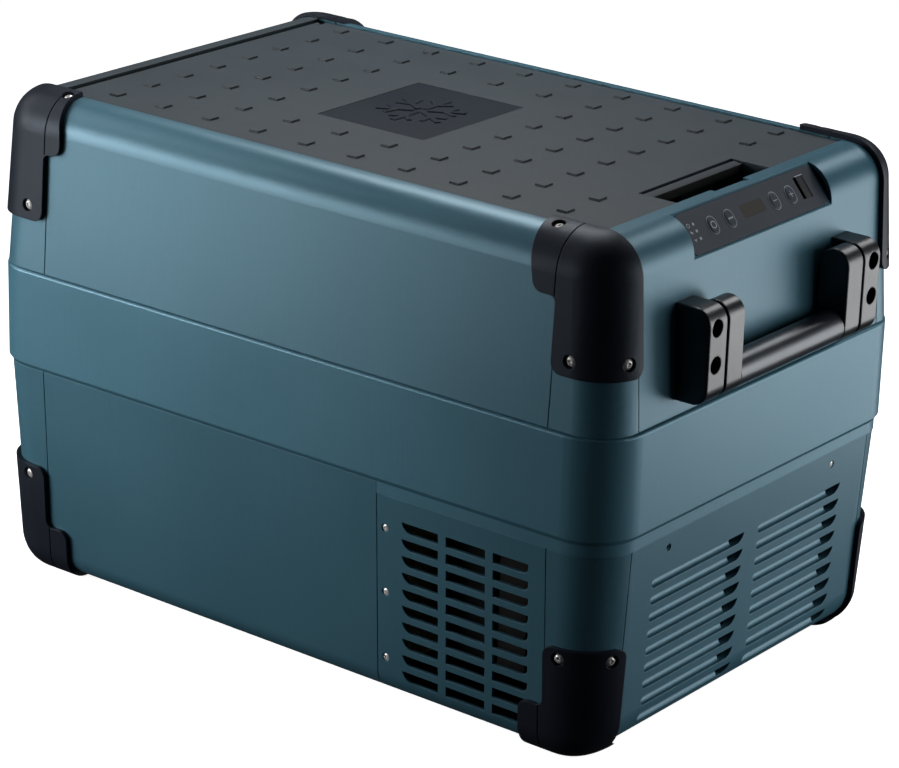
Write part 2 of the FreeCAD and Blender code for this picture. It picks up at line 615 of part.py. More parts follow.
def make_lid():
    nose = rod(HINGE_R, (HINGE_X, -147, HINGE_Z), (HINGE_X, 147, HINGE_Z))
    top = box(HINGE_X, LID_X, -LID_Y, LID_Y, LID_TOP - 4, LID_TOP)
    skirt = box(HINGE_X + HINGE_R + 1.5, LID_X, -LID_Y, LID_Y, LID_UNDER, LID_TOP - 4)
    corner_cut = box(HINGE_X - 1, HINGE_X + HINGE_R + 1.5, LID_Y - 12, LID_Y + 1, LID_UNDER, LID_TOP - 8)
    notch = box(HINGE_X - 5, HINGE_X + 6, 147, LID_Y + 1, HINGE_Z - 6, LID_TOP + 1)
    lid = fuse([top, skirt, nose]).cut([corner_cut, mirrored_y(corner_cut), notch, mirrored_y(notch)])
    hollow = box(HINGE_X + HINGE_R + 4.5, LATCH_X0 - 10, -LID_Y + 3, LID_Y - 3, LID_UNDER - 1, LID_TOP - 4)
    pit = mask_xz([(LATCH_X0 - 2.5, LID_TOP + 1), (LATCH_X0 - 2.5, 380), (LID_X + 1, 380), (LID_X + 1, LID_TOP + 1)],
                  -LATCH_HALF - 1, LATCH_HALF + 1)
    pit = pit.fuse(box(LID_X - 4, LID_X + 1, -LATCH_HALF + 4, LATCH_HALF - 4, 377, LID_TOP + 1))
    drop = box(LID_X - 36, LID_X - 4, -27, 27, LID_UNDER - 1, 381)
    emblem = box(EMBLEM_X - 53.2, EMBLEM_X + 53.2, -EMBLEM_HALF_W - 0.2, EMBLEM_HALF_W + 0.2, LID_TOP - 1.6, LID_TOP + 1)
    bore = rod(HINGE_PIN_R + RUN, (HINGE_X, -148, HINGE_Z), (HINGE_X, -125, HINGE_Z))
    spring_bay = box(LATCH_X0 - 8.4, LATCH_X0 + 0.5, 27, 43, 380.5, 391.5)
    lid = lid.cut([hollow, pit, drop, emblem, bore, mirrored_y(bore), spring_bay])
    axle = rod(1.5 + RUN, (LATCH_X0 + 1.5, -LATCH_HALF - 6, LATCH_AXIS_Z), (LATCH_X0 + 1.5, LATCH_HALF + 6, LATCH_AXIS_Z))
    lid = lid.cut(axle)
    put("lid_shell", lid)

    put("emblem_plate", box(EMBLEM_X - 53, EMBLEM_X + 53, -EMBLEM_HALF_W, EMBLEM_HALF_W, LID_TOP - 1.6, LID_TOP - 0.3))

    x0, x1 = HINGE_X + HINGE_R + 5.0, LATCH_X0 - 10.5
    put("lid_foam", box(x0, x1, -LID_Y + 3.5, LID_Y - 3.5, LID_UNDER + 2.0, LID_TOP - 4.2))
    plate = box(x0, x1, -LID_Y + 3.5, LID_Y - 3.5, LID_UNDER, LID_UNDER + 1.8)
    cx, hx = (WELL_X0 + SHELF_X1) / 2, (SHELF_X1 - WELL_X0) / 2
    plug = rounded_prism(hx - 9, WELL_Y - 6, 12, LID_UNDER - 14, LID_UNDER, cx)
    dish = rounded_prism(hx - 17, WELL_Y - 14, 8, LID_UNDER - 15, LID_UNDER - 2, cx)
    put("lid_liner", fuse([plate, plug]).cut(dish))

    ring = rounded_prism(hx + 5, WELL_Y + 9, 16, RIM_TOP + 0.25, LID_UNDER - 0.02, cx)
    put("lid_gasket", ring.cut(rounded_prism(hx - 3, WELL_Y + 1, 12, 360, 380, cx)))

    for_pins = [rod(HINGE_PIN_R, (HINGE_X, s * 126, HINGE_Z), (HINGE_X, s * 153, HINGE_Z)) for s in (-1, 1)]
    put("hinge_pins", for_pins)


def make_latch():
    """A flap in the lid's edge; lifting it swings its hook off the striker."""
    x, z = LATCH_X0 + 1.5, LATCH_AXIS_Z
    barrel = rod(2.9, (x, -LATCH_HALF + 0.6, z), (x, LATCH_HALF - 0.6, z))
    flap = mask_xz([(x, z + 2.9), (LATCH_X1, z + 2.0), (LATCH_X1 + 1.4, z - 4.0), (x, z - 2.4)],
                   -LATCH_HALF + 0.6, LATCH_HALF - 0.6)
    arm = mask_xz([(x + 1.0, z - 2), (x + 6.5, z - 2), (x + 8.0, 367.8), (x + 1.2, 367.8), (x + 1.2, 370.4),
                   (x + 4.5, 371.2)], -20, 20)
    lever = fuse([barrel, flap, arm])
    well = rod(1.5 + RUN, (x, -LATCH_HALF - 1, z), (x, LATCH_HALF + 1, z))
    put("latch_lever", lever.cut(well))
    put("latch_pin", rod(1.5, (x, -LATCH_HALF - 5, z), (x, LATCH_HALF + 5, z)))
    coil = []
    for k in range(7):
        coil.append(Part.makeTorus(2.4, 0.5, V(x - 6.2, 30 + 1.3 * k, z - 10), Y_AXIS))
    coil.append(box(x - 4.4, x - 3.4, 29.5, 38.5, z - 10.4, z - 9.6))
    put("latch_spring", fuse(coil))
    claw = mask_xz([(x - 4, 372.0), (x + 0.8, 372.0), (x + 0.8, 371.0), (x - 2, 371.0), (x - 2, 366.2),
                    (x - 4, 366.2)], -18, 18)
    base = box(x - 4, x + 20, -30, 30, RIM_BOTTOM + 2.05, RIM_BOTTOM + 3.2)
    put("latch_striker", fuse([claw, base]))


# ---- handles ------------------------------------------------------------------------

def capsule_xz(r, y0, y1):
    low = rod(r, (PIVOT_X, y0, GRIP_Z), (PIVOT_X, y1, GRIP_Z))
    high = rod(r, (PIVOT_X, y0, PIVOT_Z), (PIVOT_X, y1, PIVOT_Z))
    return fuse([low, high, box(PIVOT_X - r, PIVOT_X + r, y0, y1, GRIP_Z, PIVOT_Z)])


def soft_edges(solid, y, radius):
    """Rounds the rim of a piece where its flat side lies in the plane y."""
    rim = [e for e in solid.Edges if abs(e.BoundBox.YMin - y) < 1e-4 and abs(e.BoundBox.YMax - y) < 1e-4]
    return solid.makeFillet(radius, rim)


def make_handle():
    wall = upper_body(0.05, BAND_TOP)
    shape = fuse([capsule_xz(GRIP_R, MOUNT_Y0, MOUNT_Y1),
                  box(290, PIVOT_X, MOUNT_Y0, MOUNT_Y1, GRIP_Z - GRIP_R, PIVOT_Z + GRIP_R)])
    shape = soft_edges(soft_edges(shape, MOUNT_Y1, 1.6), MOUNT_Y0, 0.8)
    mount = shape.cut(wall)
    cuts = [rod(PIVOT_R, (PIVOT_X, 80, PIVOT_Z), (PIVOT_X, 97.6, PIVOT_Z))]
    for z in HOLE_Z:
        cuts.append(rod(HOLE_R, (309, HOLE_Y, z), (340, HOLE_Y, z)))
        cuts.append(rod(MOUNT_SCREW_R, (290, HOLE_Y, z), (312, HOLE_Y, z)))
    mount = mount.cut(cuts)
    screws = []
    for z in HOLE_Z:
        head = rod(5.0, (309.05, HOLE_Y, z), (314, HOLE_Y, z)).cut(rod(2.6, (311, HOLE_Y, z), (315, HOLE_Y, z)))
        screws.append(head.fuse(rod(2.9, (300.6, HOLE_Y, z), (309.1, HOLE_Y, z))))
    arm = soft_edges(soft_edges(capsule_xz(GRIP_R, ARM_Y0, ARM_Y1), ARM_Y0, 1.4), ARM_Y1, 0.8)
    arm = arm.cut([rod(PIVOT_R + RUN, (PIVOT_X, 75, PIVOT_Z), (PIVOT_X, 95, PIVOT_Z)),
                   rod(8.0, (PIVOT_X, ARM_Y0 - 1, GRIP_Z), (PIVOT_X, ARM_Y0 + 12, GRIP_Z))])
    pin = rod(PIVOT_R, (PIVOT_X, 76, PIVOT_Z), (PIVOT_X, 97.5, PIVOT_Z))
    grip = fuse([rod(GRIP_R - 0.3, (PIVOT_X, -ARM_Y0, GRIP_Z), (PIVOT_X, ARM_Y0, GRIP_Z)),
                 rod(8.0, (PIVOT_X, -ARM_Y0 - 12, GRIP_Z), (PIVOT_X, ARM_Y0 + 12, GRIP_Z))])
    mounts = [mount, mirrored_y(mount)]
    arms = [arm, mirrored_y(arm)]
    pins = [pin, mirrored_y(pin)]
    screws += [mirrored_y(s) for s in screws]
    put("handle_mounts", mounts + [to_hinge_end(s) for s in mounts])
    put("handle_pivot_pins", pins + [to_hinge_end(s) for s in pins])
    put("handle_mount_screws", screws + [to_hinge_end(s) for s in screws])
    put("handle_arms_control", arms)
    put("handle_arms_hinge", [to_hinge_end(s) for s in arms])
    put("handle_grip_control", grip)
    put("handle_grip_hinge", to_hinge_end(grip))


# ---- control panel ---------------------------------------------------------------------

def oval(hw, hh, z0, z1, cx, cy=0.0):
    return rounded_prism(hw, hh, hw - 0.01, z0, z1, cx, cy)


def make_controls():
    plate = rounded_prism(PANEL_HALF_W, PANEL_HALF_H, 4.0, -2.6, -0.3)
    cuts = [oval(BUTTON_HALF_W + 0.15, BUTTON_HALF_H + 0.15, -4, 1, y) for y in BUTTON_Y.values()]
    cuts.append(rounded_prism(14.3, 5.4, 0.8, -0.9, 1, 0.0, 1.0))
    cuts.append(rounded_prism(13.0, 4.4, 0.5, -4, 1, 0.0, 1.0))
    leds = []
    for y in (6.0, 0.4, -5.8):
        cuts.append(Part.makeCylinder(1.2, 5, V(-73.1, y, -4)))
        leds.append(Part.makeCylinder(1.15, 2.4, V(-73.1, y, -2.65)))
    cuts.append(Part.makeBox(12.6, 18.6, 5, V(62.3, -7.5, -4)))
    put("control_fascia", panel_place(plate.cut(cuts)))
    put("display_window", panel_place(rounded_prism(14.2, 5.3, 0.7, -0.9, -0.3, 0.0, 1.0)))
    put("status_leds", [panel_place(s) for s in leds])

    for name, y in BUTTON_Y.items():
        cap = oval(BUTTON_HALF_W, BUTTON_HALF_H, -2.6, 0.55, y)
        cap = fillet_level(cap, 0.55, 0.5)
        put(name, panel_place(cap))

    shell = Part.makeBox(12.2, 18.2, 7.6, V(62.5, -7.3, -10.2))
    mouth = Part.makeBox(6.4, 13.4, 9, V(65.8, -4.9, -8.6))
    put("usb_socket", panel_place(shell.cut(mouth)))
    board = Part.makeBox(150, 22, 1.6, V(-84, -11, -8.6))
    stems = []
    for y in BUTTON_Y.values():
        stems.append(Part.makeCylinder(2.2, 3.4, V(y, 0, -7.0)))
    screen = Part.makeBox(25, 7.6, 5.4, V(-12.5, -2.8, -7.0))
    boards = fuse([board, screen] + stems)
    put("control_board", panel_place(boards.cut(Part.makeBox(40, 30, 12, V(60, -15, -10)))))
    flap = rounded_prism(3.9, 9.0, 1.0, -1.7, -0.5, USB_HINGE_X - 3.6, 1.8)
    barrel = Part.makeCylinder(0.8, 18.0, V(USB_HINGE_X, -7.2, -1.1), Y_AXIS)
    cover = fuse([flap.cut(Part.makeBox(2, 20, 2, V(USB_HINGE_X, -8, -2))), barrel])
    put("usb_cover", panel_place(cover))


# ---- cooling machine ---------------------------------------------------------------------

def make_machine():
    can = Part.makeCylinder(46, 84, V(165, 55, 38))
    can = fillet_level(fillet_level(can, 122, 18), 38, 14)
    lug = box(165 - 58, 165 + 58, 20, 90, 27, 31)
    stub = Part.makeCylinder(14, 14, V(165, 55, 27))
    put("compressor", fuse([can, lug, stub]))
    feet = []
    for x in (113, 217):
        for y in (28, 82):
            feet.append(Part.makeCylinder(7, 23.5, V(x, y, BODY_BOTTOM + 3.45)))
    put("compressor_grommets", feet)

    core = box(128, 168, -150, -38, 30, 146)
    slots = [box(124, 172, -146, -42, z, z + 4.6) for z in range(36, 142, 8)]
    put("condenser", core.cut(slots))

    frame = box(180, 206, -152, -36, 30, 146).cut(Part.makeCylinder(53, 40, V(172, -94, 88), X_AXIS))
    spokes = [box(200, 204, -150, -38, 85.5, 90.5), box(200, 204, -96.5, -91.5, 32, 144)]
    hub = Part.makeCylinder(20, 4, V(200, -94, 88), X_AXIS)
    shaft = Part.makeCylinder(2.0, 24, V(178, -94, 88), X_AXIS)
    put("fan_frame", fuse([frame, hub, shaft] + spokes))

    hub = Part.makeCylinder(19, 15, V(183, -94, 88), X_AXIS)
    blades = []
    for k in range(7):
        blade = box(184, 197, -1.0, 1.0, 17, 50.5)
        blade.rotate(V(190.5, 0, 30), Z_AXIS, 35)
        blade = blade.common(Part.makeCylinder(51, 12.4, V(184.6, 0, 0), X_AXIS))
        blade.translate(V(0, -94, 88))
        blade.rotate(V(190, -94, 88), X_AXIS, k * 360.0 / 7)
        blades.append(blade)
    rotor = fuse([hub] + blades)
    put("fan_rotor", rotor.cut(Part.makeCylinder(2.0 + RUN, 40, V(175, -94, 88), X_AXIS)))

    drier = Part.makeCylinder(9, 70, V(104, 60, 152), Y_AXIS)
    ends = [Part.makeCone(9, 3.2, 14, V(104, 130, 152), Y_AXIS), Part.makeCone(9, 3.2, 14, V(104, 60, 152), V(0, -1, 0))]
    put("filter_drier", fuse([drier] + ends))

    routes = {
        "suction": [(165, 55, 122.2), (165, 55, 168), (98, 20, 168)],
        "discharge": [(130, 55, 127), (130, 55, 158), (148, -30, 158), (148, -94, 158), (148, -94, 146.2)],
    }
    pipes = []
    for points in routes.values():
        segments = []
        for a, b in zip(points[:-1], points[1:]):
            segments.append(rod(3.2, a, b))
        segments += [Part.makeSphere(3.2, V(*p)) for p in points[1:-1]]
        pipes.append(fuse(segments))
    pipes[1] = pipes[1].cut(can)
    put("refrigerant_pipes", pipes)

    case = box(232, 274, -110, 40, 20, 110)
    fins = [box(274, 284, -110, 40, z, z + 2.5) for z in range(24, 108, 9)]
    put("power_module", fuse([case] + fins))


def make_sockets():
    """Inlets and fuse on the back long side, in the plain lower panel beside the vent."""
    panel = PARTS["lower_side_panels"][1]
    y = lower_half(120)[1]
    dc_hole = rounded_prism(13.2, 9.2, 3, 0, 60, 62, 0)
    ac_hole = rounded_prism(15.2, 11.2, 2, 0, 60, 62, 0)
    turn = FreeCAD.Rotation(X_AXIS, -90)
    for name, hole, z, pins in (("dc_inlet", dc_hole, 132.0, ((-5.5, 0), (5.5, 0))),
                                ("ac_inlet", ac_hole, 96.0, ((-7, -2.5), (0, 3.0), (7, -2.5)))):
        cutter = hole.copy()
        cutter.Placement = FreeCAD.Placement(V(0, y - 25, z), turn)
        panel = panel.cut(cutter)
        rim = rounded_prism(18.5, 14.5, 3, 26.3, 28.1, 62, 0)
        grow = -0.25
        hx, hy, r = (13.2, 9.2, 3) if name == "dc_inlet" else (15.2, 11.2, 2)
        barrel = rounded_prism(hx + grow, hy + grow, r, 4, 26.3, 62, 0)
        cavity = rounded_prism(hx - 2.4, hy - 2.4, max(r - 1, 1), 8, 30, 62, 0)
        socket = rim.fuse(barrel).cut(cavity)
        socket = fuse([socket] + [Part.makeCylinder(1.4, 12, V(62 + px, py, 6)) for px, py in pins])
        socket.Placement = FreeCAD.Placement(V(0, y - 25, z), turn)
        put(name, socket)
    PARTS["lower_side_panels"][1] = panel.Solids[0]
    foam = PARTS["foam_insulation"][0]
    foam = foam.cut(box(40, 84, y - 24, y + 10, 78, 150))
    put("foam_insulation", foam)


def make_interior():
    """Welded wire basket standing in the well, and a lamp on the liner's side."""
    r = 1.6
    x0, x1, y0, y1 = WELL_X0 + 10, WELL_X1 - 10, -WELL_Y + 9, WELL_Y - 9
    z0, z1 = WELL_FLOOR + 5.0, 330.0
    cx, hx = (x0 + x1) / 2, (x1 - x0) / 2
    rings = []
    for z in (z0 + 3, 150.0, 240.0, z1):
        outer = rounded_prism(hx + r, y1 + r, 10, z - r, z + r, cx)
        rings.append(outer.cut(rounded_prism(hx - r, y1 - r, 8, z - r - 1, z + r + 1, cx)))
    bars = []
    for n in range(1, 8):
        x = x0 + (x1 - x0) * n / 8
        for y in (y0 + r, y1 - 2 * r):
            bars.append(box(x - r, x + r, y, y + r, z0, z1 + r))
        bars.append(box(x - r, x + r, y0 + r, y1 - r, z0, z0 + r))
    for n in range(1, 7):
        y = y0 + (y1 - y0) * n / 7
        for x in (x0 + r, x1 - 2 * r):
            bars.append(box(x, x + r, y - r, y + r, z0, z1 + r))
        bars.append(box(x0 + r, x1 - r, y - r, y + r, z0 + 0.2, z0 + 0.2 + r))
    basket = rings[0]
    for piece in rings[1:] + bars:
        basket = basket.fuse(piece)
    put("wire_basket", basket)
    lamp = box(150, 190, WELL_Y - 3.2, WELL_Y - 0.1, 330, 346)
    put("interior_lamp", lamp)


def main():
    make_upper_skin()
    make_band()
    make_lower_skin()
    make_guards()
    make_guard_screws()
    make_vent_screws()
    make_insulation()
    make_rim()
    make_lid()
    make_latch()
    make_handle()
    make_controls()
    make_machine()
    make_sockets()
    make_interior()
    os.makedirs("parts", exist_ok=True)
    for name, solids in PARTS.items():
        shape = solids[0] if len(solids) == 1 else Part.makeCompound(solids)
        shape = shape.translated(V(HINGE_REACH / 2, 0, GUARD_T - BODY_BOTTOM))
        shape.exportStep("parts/" + name + ".step")
    print(len(PARTS), "nodes,", sum(len(s) for s in PARTS.values()), "solids")


main()
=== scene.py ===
import json
import math
import bpy
import bmesh
from mathutils import Euler, Matrix, Vector


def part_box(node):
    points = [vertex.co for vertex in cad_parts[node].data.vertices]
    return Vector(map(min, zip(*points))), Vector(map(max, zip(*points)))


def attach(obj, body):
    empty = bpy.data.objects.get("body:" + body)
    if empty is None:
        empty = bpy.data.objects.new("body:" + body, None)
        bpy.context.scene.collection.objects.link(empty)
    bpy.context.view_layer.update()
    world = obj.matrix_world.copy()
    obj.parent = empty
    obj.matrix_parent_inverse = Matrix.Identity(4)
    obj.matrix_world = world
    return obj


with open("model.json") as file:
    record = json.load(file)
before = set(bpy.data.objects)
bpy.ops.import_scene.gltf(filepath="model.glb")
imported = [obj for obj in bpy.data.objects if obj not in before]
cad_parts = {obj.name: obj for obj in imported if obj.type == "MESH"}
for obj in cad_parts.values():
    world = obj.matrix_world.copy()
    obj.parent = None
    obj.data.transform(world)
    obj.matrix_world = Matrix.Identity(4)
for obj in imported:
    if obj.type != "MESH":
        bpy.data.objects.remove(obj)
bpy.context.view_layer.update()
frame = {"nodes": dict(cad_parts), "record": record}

MM = 0.001
CAMERA_PLACE = (1.59670, -2.05339, 1.14510)
CAMERA_TURN = (69.626163, -1.661896, 38.282459)     # degrees about X, Y and Z
CAMERA_LENS = 137.94                                # mm, on a 36 mm sensor


# ---- camera -------------------------------------------------------------------

def make_camera():
    data = bpy.data.cameras.new("camera")
    data.sensor_width = 36.0
    data.lens = CAMERA_LENS
    data.clip_end = 50.0
    cam = bpy.data.objects.new("camera", data)
    bpy.context.scene.collection.objects.link(cam)
    turn = Euler([math.radians(angle) for angle in CAMERA_TURN])
    cam.matrix_world = Matrix.LocRotScale(Vector(CAMERA_PLACE), turn, None)
    bpy.context.scene.camera = cam


# ---- lights and floor ---------------------------------------------------------

def area_light(name, place, target, size, power, spread=180.0):
    """A soft box at place, turned to face target; spread is its beam in degrees."""
    data = bpy.data.lights.new(name, "AREA")
    data.shape = "RECTANGLE"
    data.size, data.size_y = size
    data.energy = power
    data.spread = math.radians(spread)
    lamp = bpy.data.objects.new(name, data)
    aim = Vector(target) - Vector(place)
    lamp.location = place
    lamp.rotation_euler = aim.to_track_quat("-Z", "Y").to_euler()
    bpy.context.scene.collection.objects.link(lamp)


def make_lights():
    middle = (0.0, 0.0, 0.25)
    area_light("front_low", (-1.02, -0.86, 0.40), (-0.34, -0.2, 0.24), (0.65, 0.65), 1.25, spread=50.0)
    area_light("front_fill", (-0.60, -1.00, 0.32), (-0.14, -0.2, 0.27), (0.6, 0.5), 0.38, spread=60.0)
    area_light("front_left", (-1.0, -0.40, 0.95), middle, (0.7, 0.7), 3.4)
    area_light("end_low", (1.256, 0.457, 0.40), middle, (0.8, 0.7), 4.2)
    area_light("end_back", (1.10, 1.22, 0.06), (0.3, 0.0, 0.15), (1.1, 0.9), 9.0)
    area_light("rim_back", (0.35, 1.20, 1.30), (0.28, 0.0, 0.38), (0.5, 0.5), 3.5)
    area_light("top_back", (-0.45, 0.45, 1.44), middle, (0.7, 0.7), 12.3)
    world = bpy.data.worlds.new("studio")
    world.use_nodes = True
    sky = world.node_tree.nodes["Background"]
    sky.inputs["Color"].default_value = (0.9, 0.94, 1.0, 1.0)
    sky.inputs["Strength"].default_value = 0.012
    bpy.context.scene.world = world
    bpy.context.scene.view_settings.view_transform = "Standard"


# ---- materials ----------------------------------------------------------------

def linear(r, g, b):
    """A display colour, 0 to 255, as scene-linear values."""
    result = []
    for v in (r, g, b):
        c = v / 255.0
        result.append(c / 12.92 if c <= 0.04045 else ((c + 0.055) / 1.055) ** 2.4)
    return tuple(result) + (1.0,)


class Finish:
    """A Principled material whose colour, roughness and relief are patterned in the object's own space."""

    def __init__(self, name, roughness, metallic=0.0, specular=0.5, coat=0.0, coat_roughness=0.1,
                 tint=(1.0, 1.0, 1.0)):
        self.mat = bpy.data.materials.new(name)
        self.mat.use_nodes = True
        self.nodes = self.mat.node_tree.nodes
        self.links = self.mat.node_tree.links
        self.bsdf = self.nodes["Principled BSDF"]
        self.rough = roughness
        self.bsdf.inputs["Metallic"].default_value = metallic
        self.bsdf.inputs["Specular IOR Level"].default_value = specular
        self.bsdf.inputs["Coat Weight"].default_value = coat
        self.bsdf.inputs["Coat Roughness"].default_value = coat_roughness
        self.bsdf.inputs["Specular Tint"].default_value = tint + (1.0,)
        self.place = self.nodes.new("ShaderNodeTexCoord").outputs["Object"]
        self.normal = None

    def link(self, source, target):
        self.links.new(source, target)

    def math(self, kind, a, b):
        node = self.nodes.new("ShaderNodeMath")
        node.operation = kind
        for k, v in enumerate((a, b)):
            if isinstance(v, (int, float)):
                node.inputs[k].default_value = v
            else:
                self.link(v, node.inputs[k])
        return node.outputs[0]

    def stretched(self, stretch):
        """The object's own coordinates, scaled along each axis."""
        mapping = self.nodes.new("ShaderNodeMapping")
        mapping.inputs["Scale"].default_value = stretch
        self.link(self.place, mapping.inputs["Vector"])
        return mapping.outputs[0]

    def noise(self, scale, detail, rough, stretch=(1.0, 1.0, 1.0)):
        source = self.stretched(stretch)
        node = self.nodes.new("ShaderNodeTexNoise")
        node.inputs["Scale"].default_value = scale
        node.inputs["Detail"].default_value = detail
        node.inputs["Roughness"].default_value = rough
        self.link(source, node.inputs["Vector"])
        return node.outputs["Fac"]

    def cells(self, scale, stretch=(1.0, 1.0, 1.0)):
        source = self.stretched(stretch)
        node = self.nodes.new("ShaderNodeTexVoronoi")
        node.feature = "F1"
        node.inputs["Scale"].default_value = scale
        self.link(source, node.inputs["Vector"])
        return node.outputs["Distance"]

    def spread(self, value, low, high, to_low=0.0, to_high=1.0):
        """Maps low..high to to_low..to_high, and holds it there outside them."""
        node = self.nodes.new("ShaderNodeMapRange")
        node.inputs["From Min"].default_value = low
        node.inputs["From Max"].default_value = high
        node.inputs["To Min"].default_value = to_low
        node.inputs["To Max"].default_value = to_high
        self.link(value, node.inputs["Value"])
        return node.outputs[0]

    def mix(self, factor, a, b):
        node = self.nodes.new("ShaderNodeMix")
        node.data_type = "RGBA"
        self.link(factor, node.inputs["Factor"])
        for socket, value in ((node.inputs[6], a), (node.inputs[7], b)):
            if isinstance(value, tuple):
                socket.default_value = value
            else:
                self.link(value, socket)
        return node.outputs[2]

    def round_edges(self, radius):
        node = self.nodes.new("ShaderNodeBevel")
        node.samples = 4
        node.inputs["Radius"].default_value = radius
        self.normal = node.outputs[0]

    def edge_mask(self, radius):
        """1 on edges and corners, 0 on open faces."""
        self.round_edges(radius)
        true = self.nodes.new("ShaderNodeNewGeometry").outputs["True Normal"]
        dot = self.nodes.new("ShaderNodeVectorMath")
        dot.operation = "DOT_PRODUCT"
        self.link(self.normal, dot.inputs[0])
        self.link(true, dot.inputs[1])
        return self.spread(self.math("SUBTRACT", 1.0, dot.outputs["Value"]), 0.02, 0.25)

    def relief(self, height, depth):
        node = self.nodes.new("ShaderNodeBump")
        node.inputs["Strength"].default_value = 1.0
        node.inputs["Distance"].default_value = depth
        self.link(height, node.inputs["Height"])
        if self.normal is not None:
            self.link(self.normal, node.inputs["Normal"])
        self.normal = node.outputs[0]

    def done(self, colour, roughness=None):
        """Joins it all up; a finish without a roughness pattern keeps its single value."""
        self.link(colour, self.bsdf.inputs["Base Color"])
        if roughness is None:
            self.bsdf.inputs["Roughness"].default_value = self.rough
        else:
            self.link(roughness, self.bsdf.inputs["Roughness"])
        self.link(self.normal, self.bsdf.inputs["Normal"])
        return self.mat


def shade(colour, factor):
    """The colour lighter or darker by a factor."""
    return tuple(min(1.0, c * factor) for c in colour[:3]) + (1.0,)


def moulded(name, colour, rough, grain=900.0, depth=0.00004, edge=0.0008, wear_and_highlight=1.35, mottle=0.12,
            specular=0.5, coat=0.0, coat_roughness=0.1, tint=(1.0, 1.0, 1.0)):
    """Moulded plastic or powder paint: fine grain, cloudy tone, edges a little rubbed and lighter; on the
    keys the lighter edges are a painted highlight.
    """
    f = Finish(name, rough, specular=specular, coat=coat, coat_roughness=coat_roughness, tint=tint)
    edges = f.edge_mask(edge)
    cloud = f.noise(14.0, 4.0, 0.6)
    speck = f.noise(grain, 2.0, 0.6)
    tone = f.mix(f.spread(cloud, 0.3, 0.7), shade(colour, 1.0 - mottle), shade(colour, 1.0 + mottle))
    tone = f.mix(f.spread(speck, 0.35, 0.65, 0.0, 0.35), tone, shade(colour, 0.72))
    rub = f.math("MULTIPLY", edges, f.spread(f.noise(60.0, 3.0, 0.7), 0.35, 0.6))
    # lighter edges: rubbed wear, and on the keys a painted highlight of their rounded rims
    tone = f.mix(rub, tone, shade(colour, wear_and_highlight))
    f.relief(speck, depth)
    shine = f.math("ADD", f.spread(cloud, 0.3, 0.7, rough - 0.05, rough + 0.05),
                   f.spread(speck, 0.3, 0.7, -0.04, 0.04))
    return f.done(tone, shine)


def painted_teal(name, colour):
    """Satin metallic-looking paint with very fine upright brushing."""
    f = Finish(name, 0.4, specular=0.44, metallic=0.25)
    edges = f.edge_mask(0.0008)
    cloud = f.noise(5.0, 3.0, 0.5)
    speck = f.noise(1500.0, 2.0, 0.6)
    brush = f.noise(420.0, 3.0, 0.6, (1.0, 1.0, 0.05))
    tone = f.mix(f.spread(cloud, 0.3, 0.7), shade(colour, 0.94), shade(colour, 1.06))
    tone = f.mix(f.spread(brush, 0.35, 0.65, 0.0, 0.16), tone, shade(colour, 0.8))
    tone = f.mix(f.spread(speck, 0.4, 0.7, 0.0, 0.3), tone, shade(colour, 1.25))
    rub = f.math("MULTIPLY", edges, f.spread(f.noise(45.0, 3.0, 0.7), 0.4, 0.65))
    tone = f.mix(rub, tone, shade(colour, 1.5))
    f.relief(f.math("ADD", speck, f.math("MULTIPLY", brush, 0.25)), 0.000025)
    shine = f.math("ADD", f.spread(cloud, 0.3, 0.7, 0.36, 0.42), f.spread(speck, 0.3, 0.7, -0.05, 0.05))
    return f.done(tone, shine)


def metal(name, colour, rough, stretch=(1.0, 1.0, 1.0), edge=0.0003, metallic=1.0, specular=0.5):
    """Bare or plated metal with fine turning or drawing marks and dull patches."""
    f = Finish(name, rough, metallic=metallic, specular=specular)
    edges = f.edge_mask(edge)
    marks = f.noise(700.0, 3.0, 0.6, stretch)
    stain = f.noise(90.0, 4.0, 0.6)
    tone = f.mix(f.spread(marks, 0.3, 0.7), shade(colour, 0.88), shade(colour, 1.05))
    tone = f.mix(f.spread(stain, 0.52, 0.75, 0.0, 0.6), tone, shade(colour, 0.7))
    tone = f.mix(edges, tone, shade(colour, 1.15))
    f.relief(marks, 0.00002)
    shine = f.math("ADD", f.spread(marks, 0.3, 0.7, rough - 0.06, rough + 0.06),
                   f.spread(stain, 0.5, 0.75, 0.0, 0.12))
    return f.done(tone, shine)


def lever_plastic_with_recess_shade(name, colour, top):
    """The lid's plastic, with painted shade: black below the lever's top, inside the finger recess."""
    f = Finish(name, 0.55, specular=0.28)
    speck = f.noise(1300.0, 2.0, 0.6)
    axes = f.nodes.new("ShaderNodeSeparateXYZ")
    f.link(f.place, axes.inputs[0])
    # painted shade: the plastic fades to black from 0.4 to 1.2 mm below the lever's top, where the finger
    # recess lies in shadow
    recess_shade = f.spread(axes.outputs["Z"], top - 0.0012, top - 0.0004)
    tone = f.mix(f.spread(speck, 0.35, 0.65, 0.0, 0.35), colour, shade(colour, 0.72))
    tone = f.mix(recess_shade, (0.002, 0.002, 0.0025, 1.0), tone)
    f.round_edges(0.0005)
    f.relief(speck, 0.00008)
    return f.done(tone)


def foam_core(name, colour):
    """Cut foam: cells in relief, darker in their hollow middles as painted shade."""
    f = Finish(name, 0.85)
    bubbles = f.cells(450.0)
    cloud = f.noise(30.0, 4.0, 0.6)
    tone = f.mix(f.spread(cloud, 0.3, 0.7), shade(colour, 0.85), shade(colour, 1.05))
    # painted shade: each cell darkens towards its hollow middle
    tone = f.mix(f.spread(bubbles, 0.0, 0.5), shade(colour, 0.7), tone)
    f.relief(bubbles, 0.0005)
    return f.done(tone)


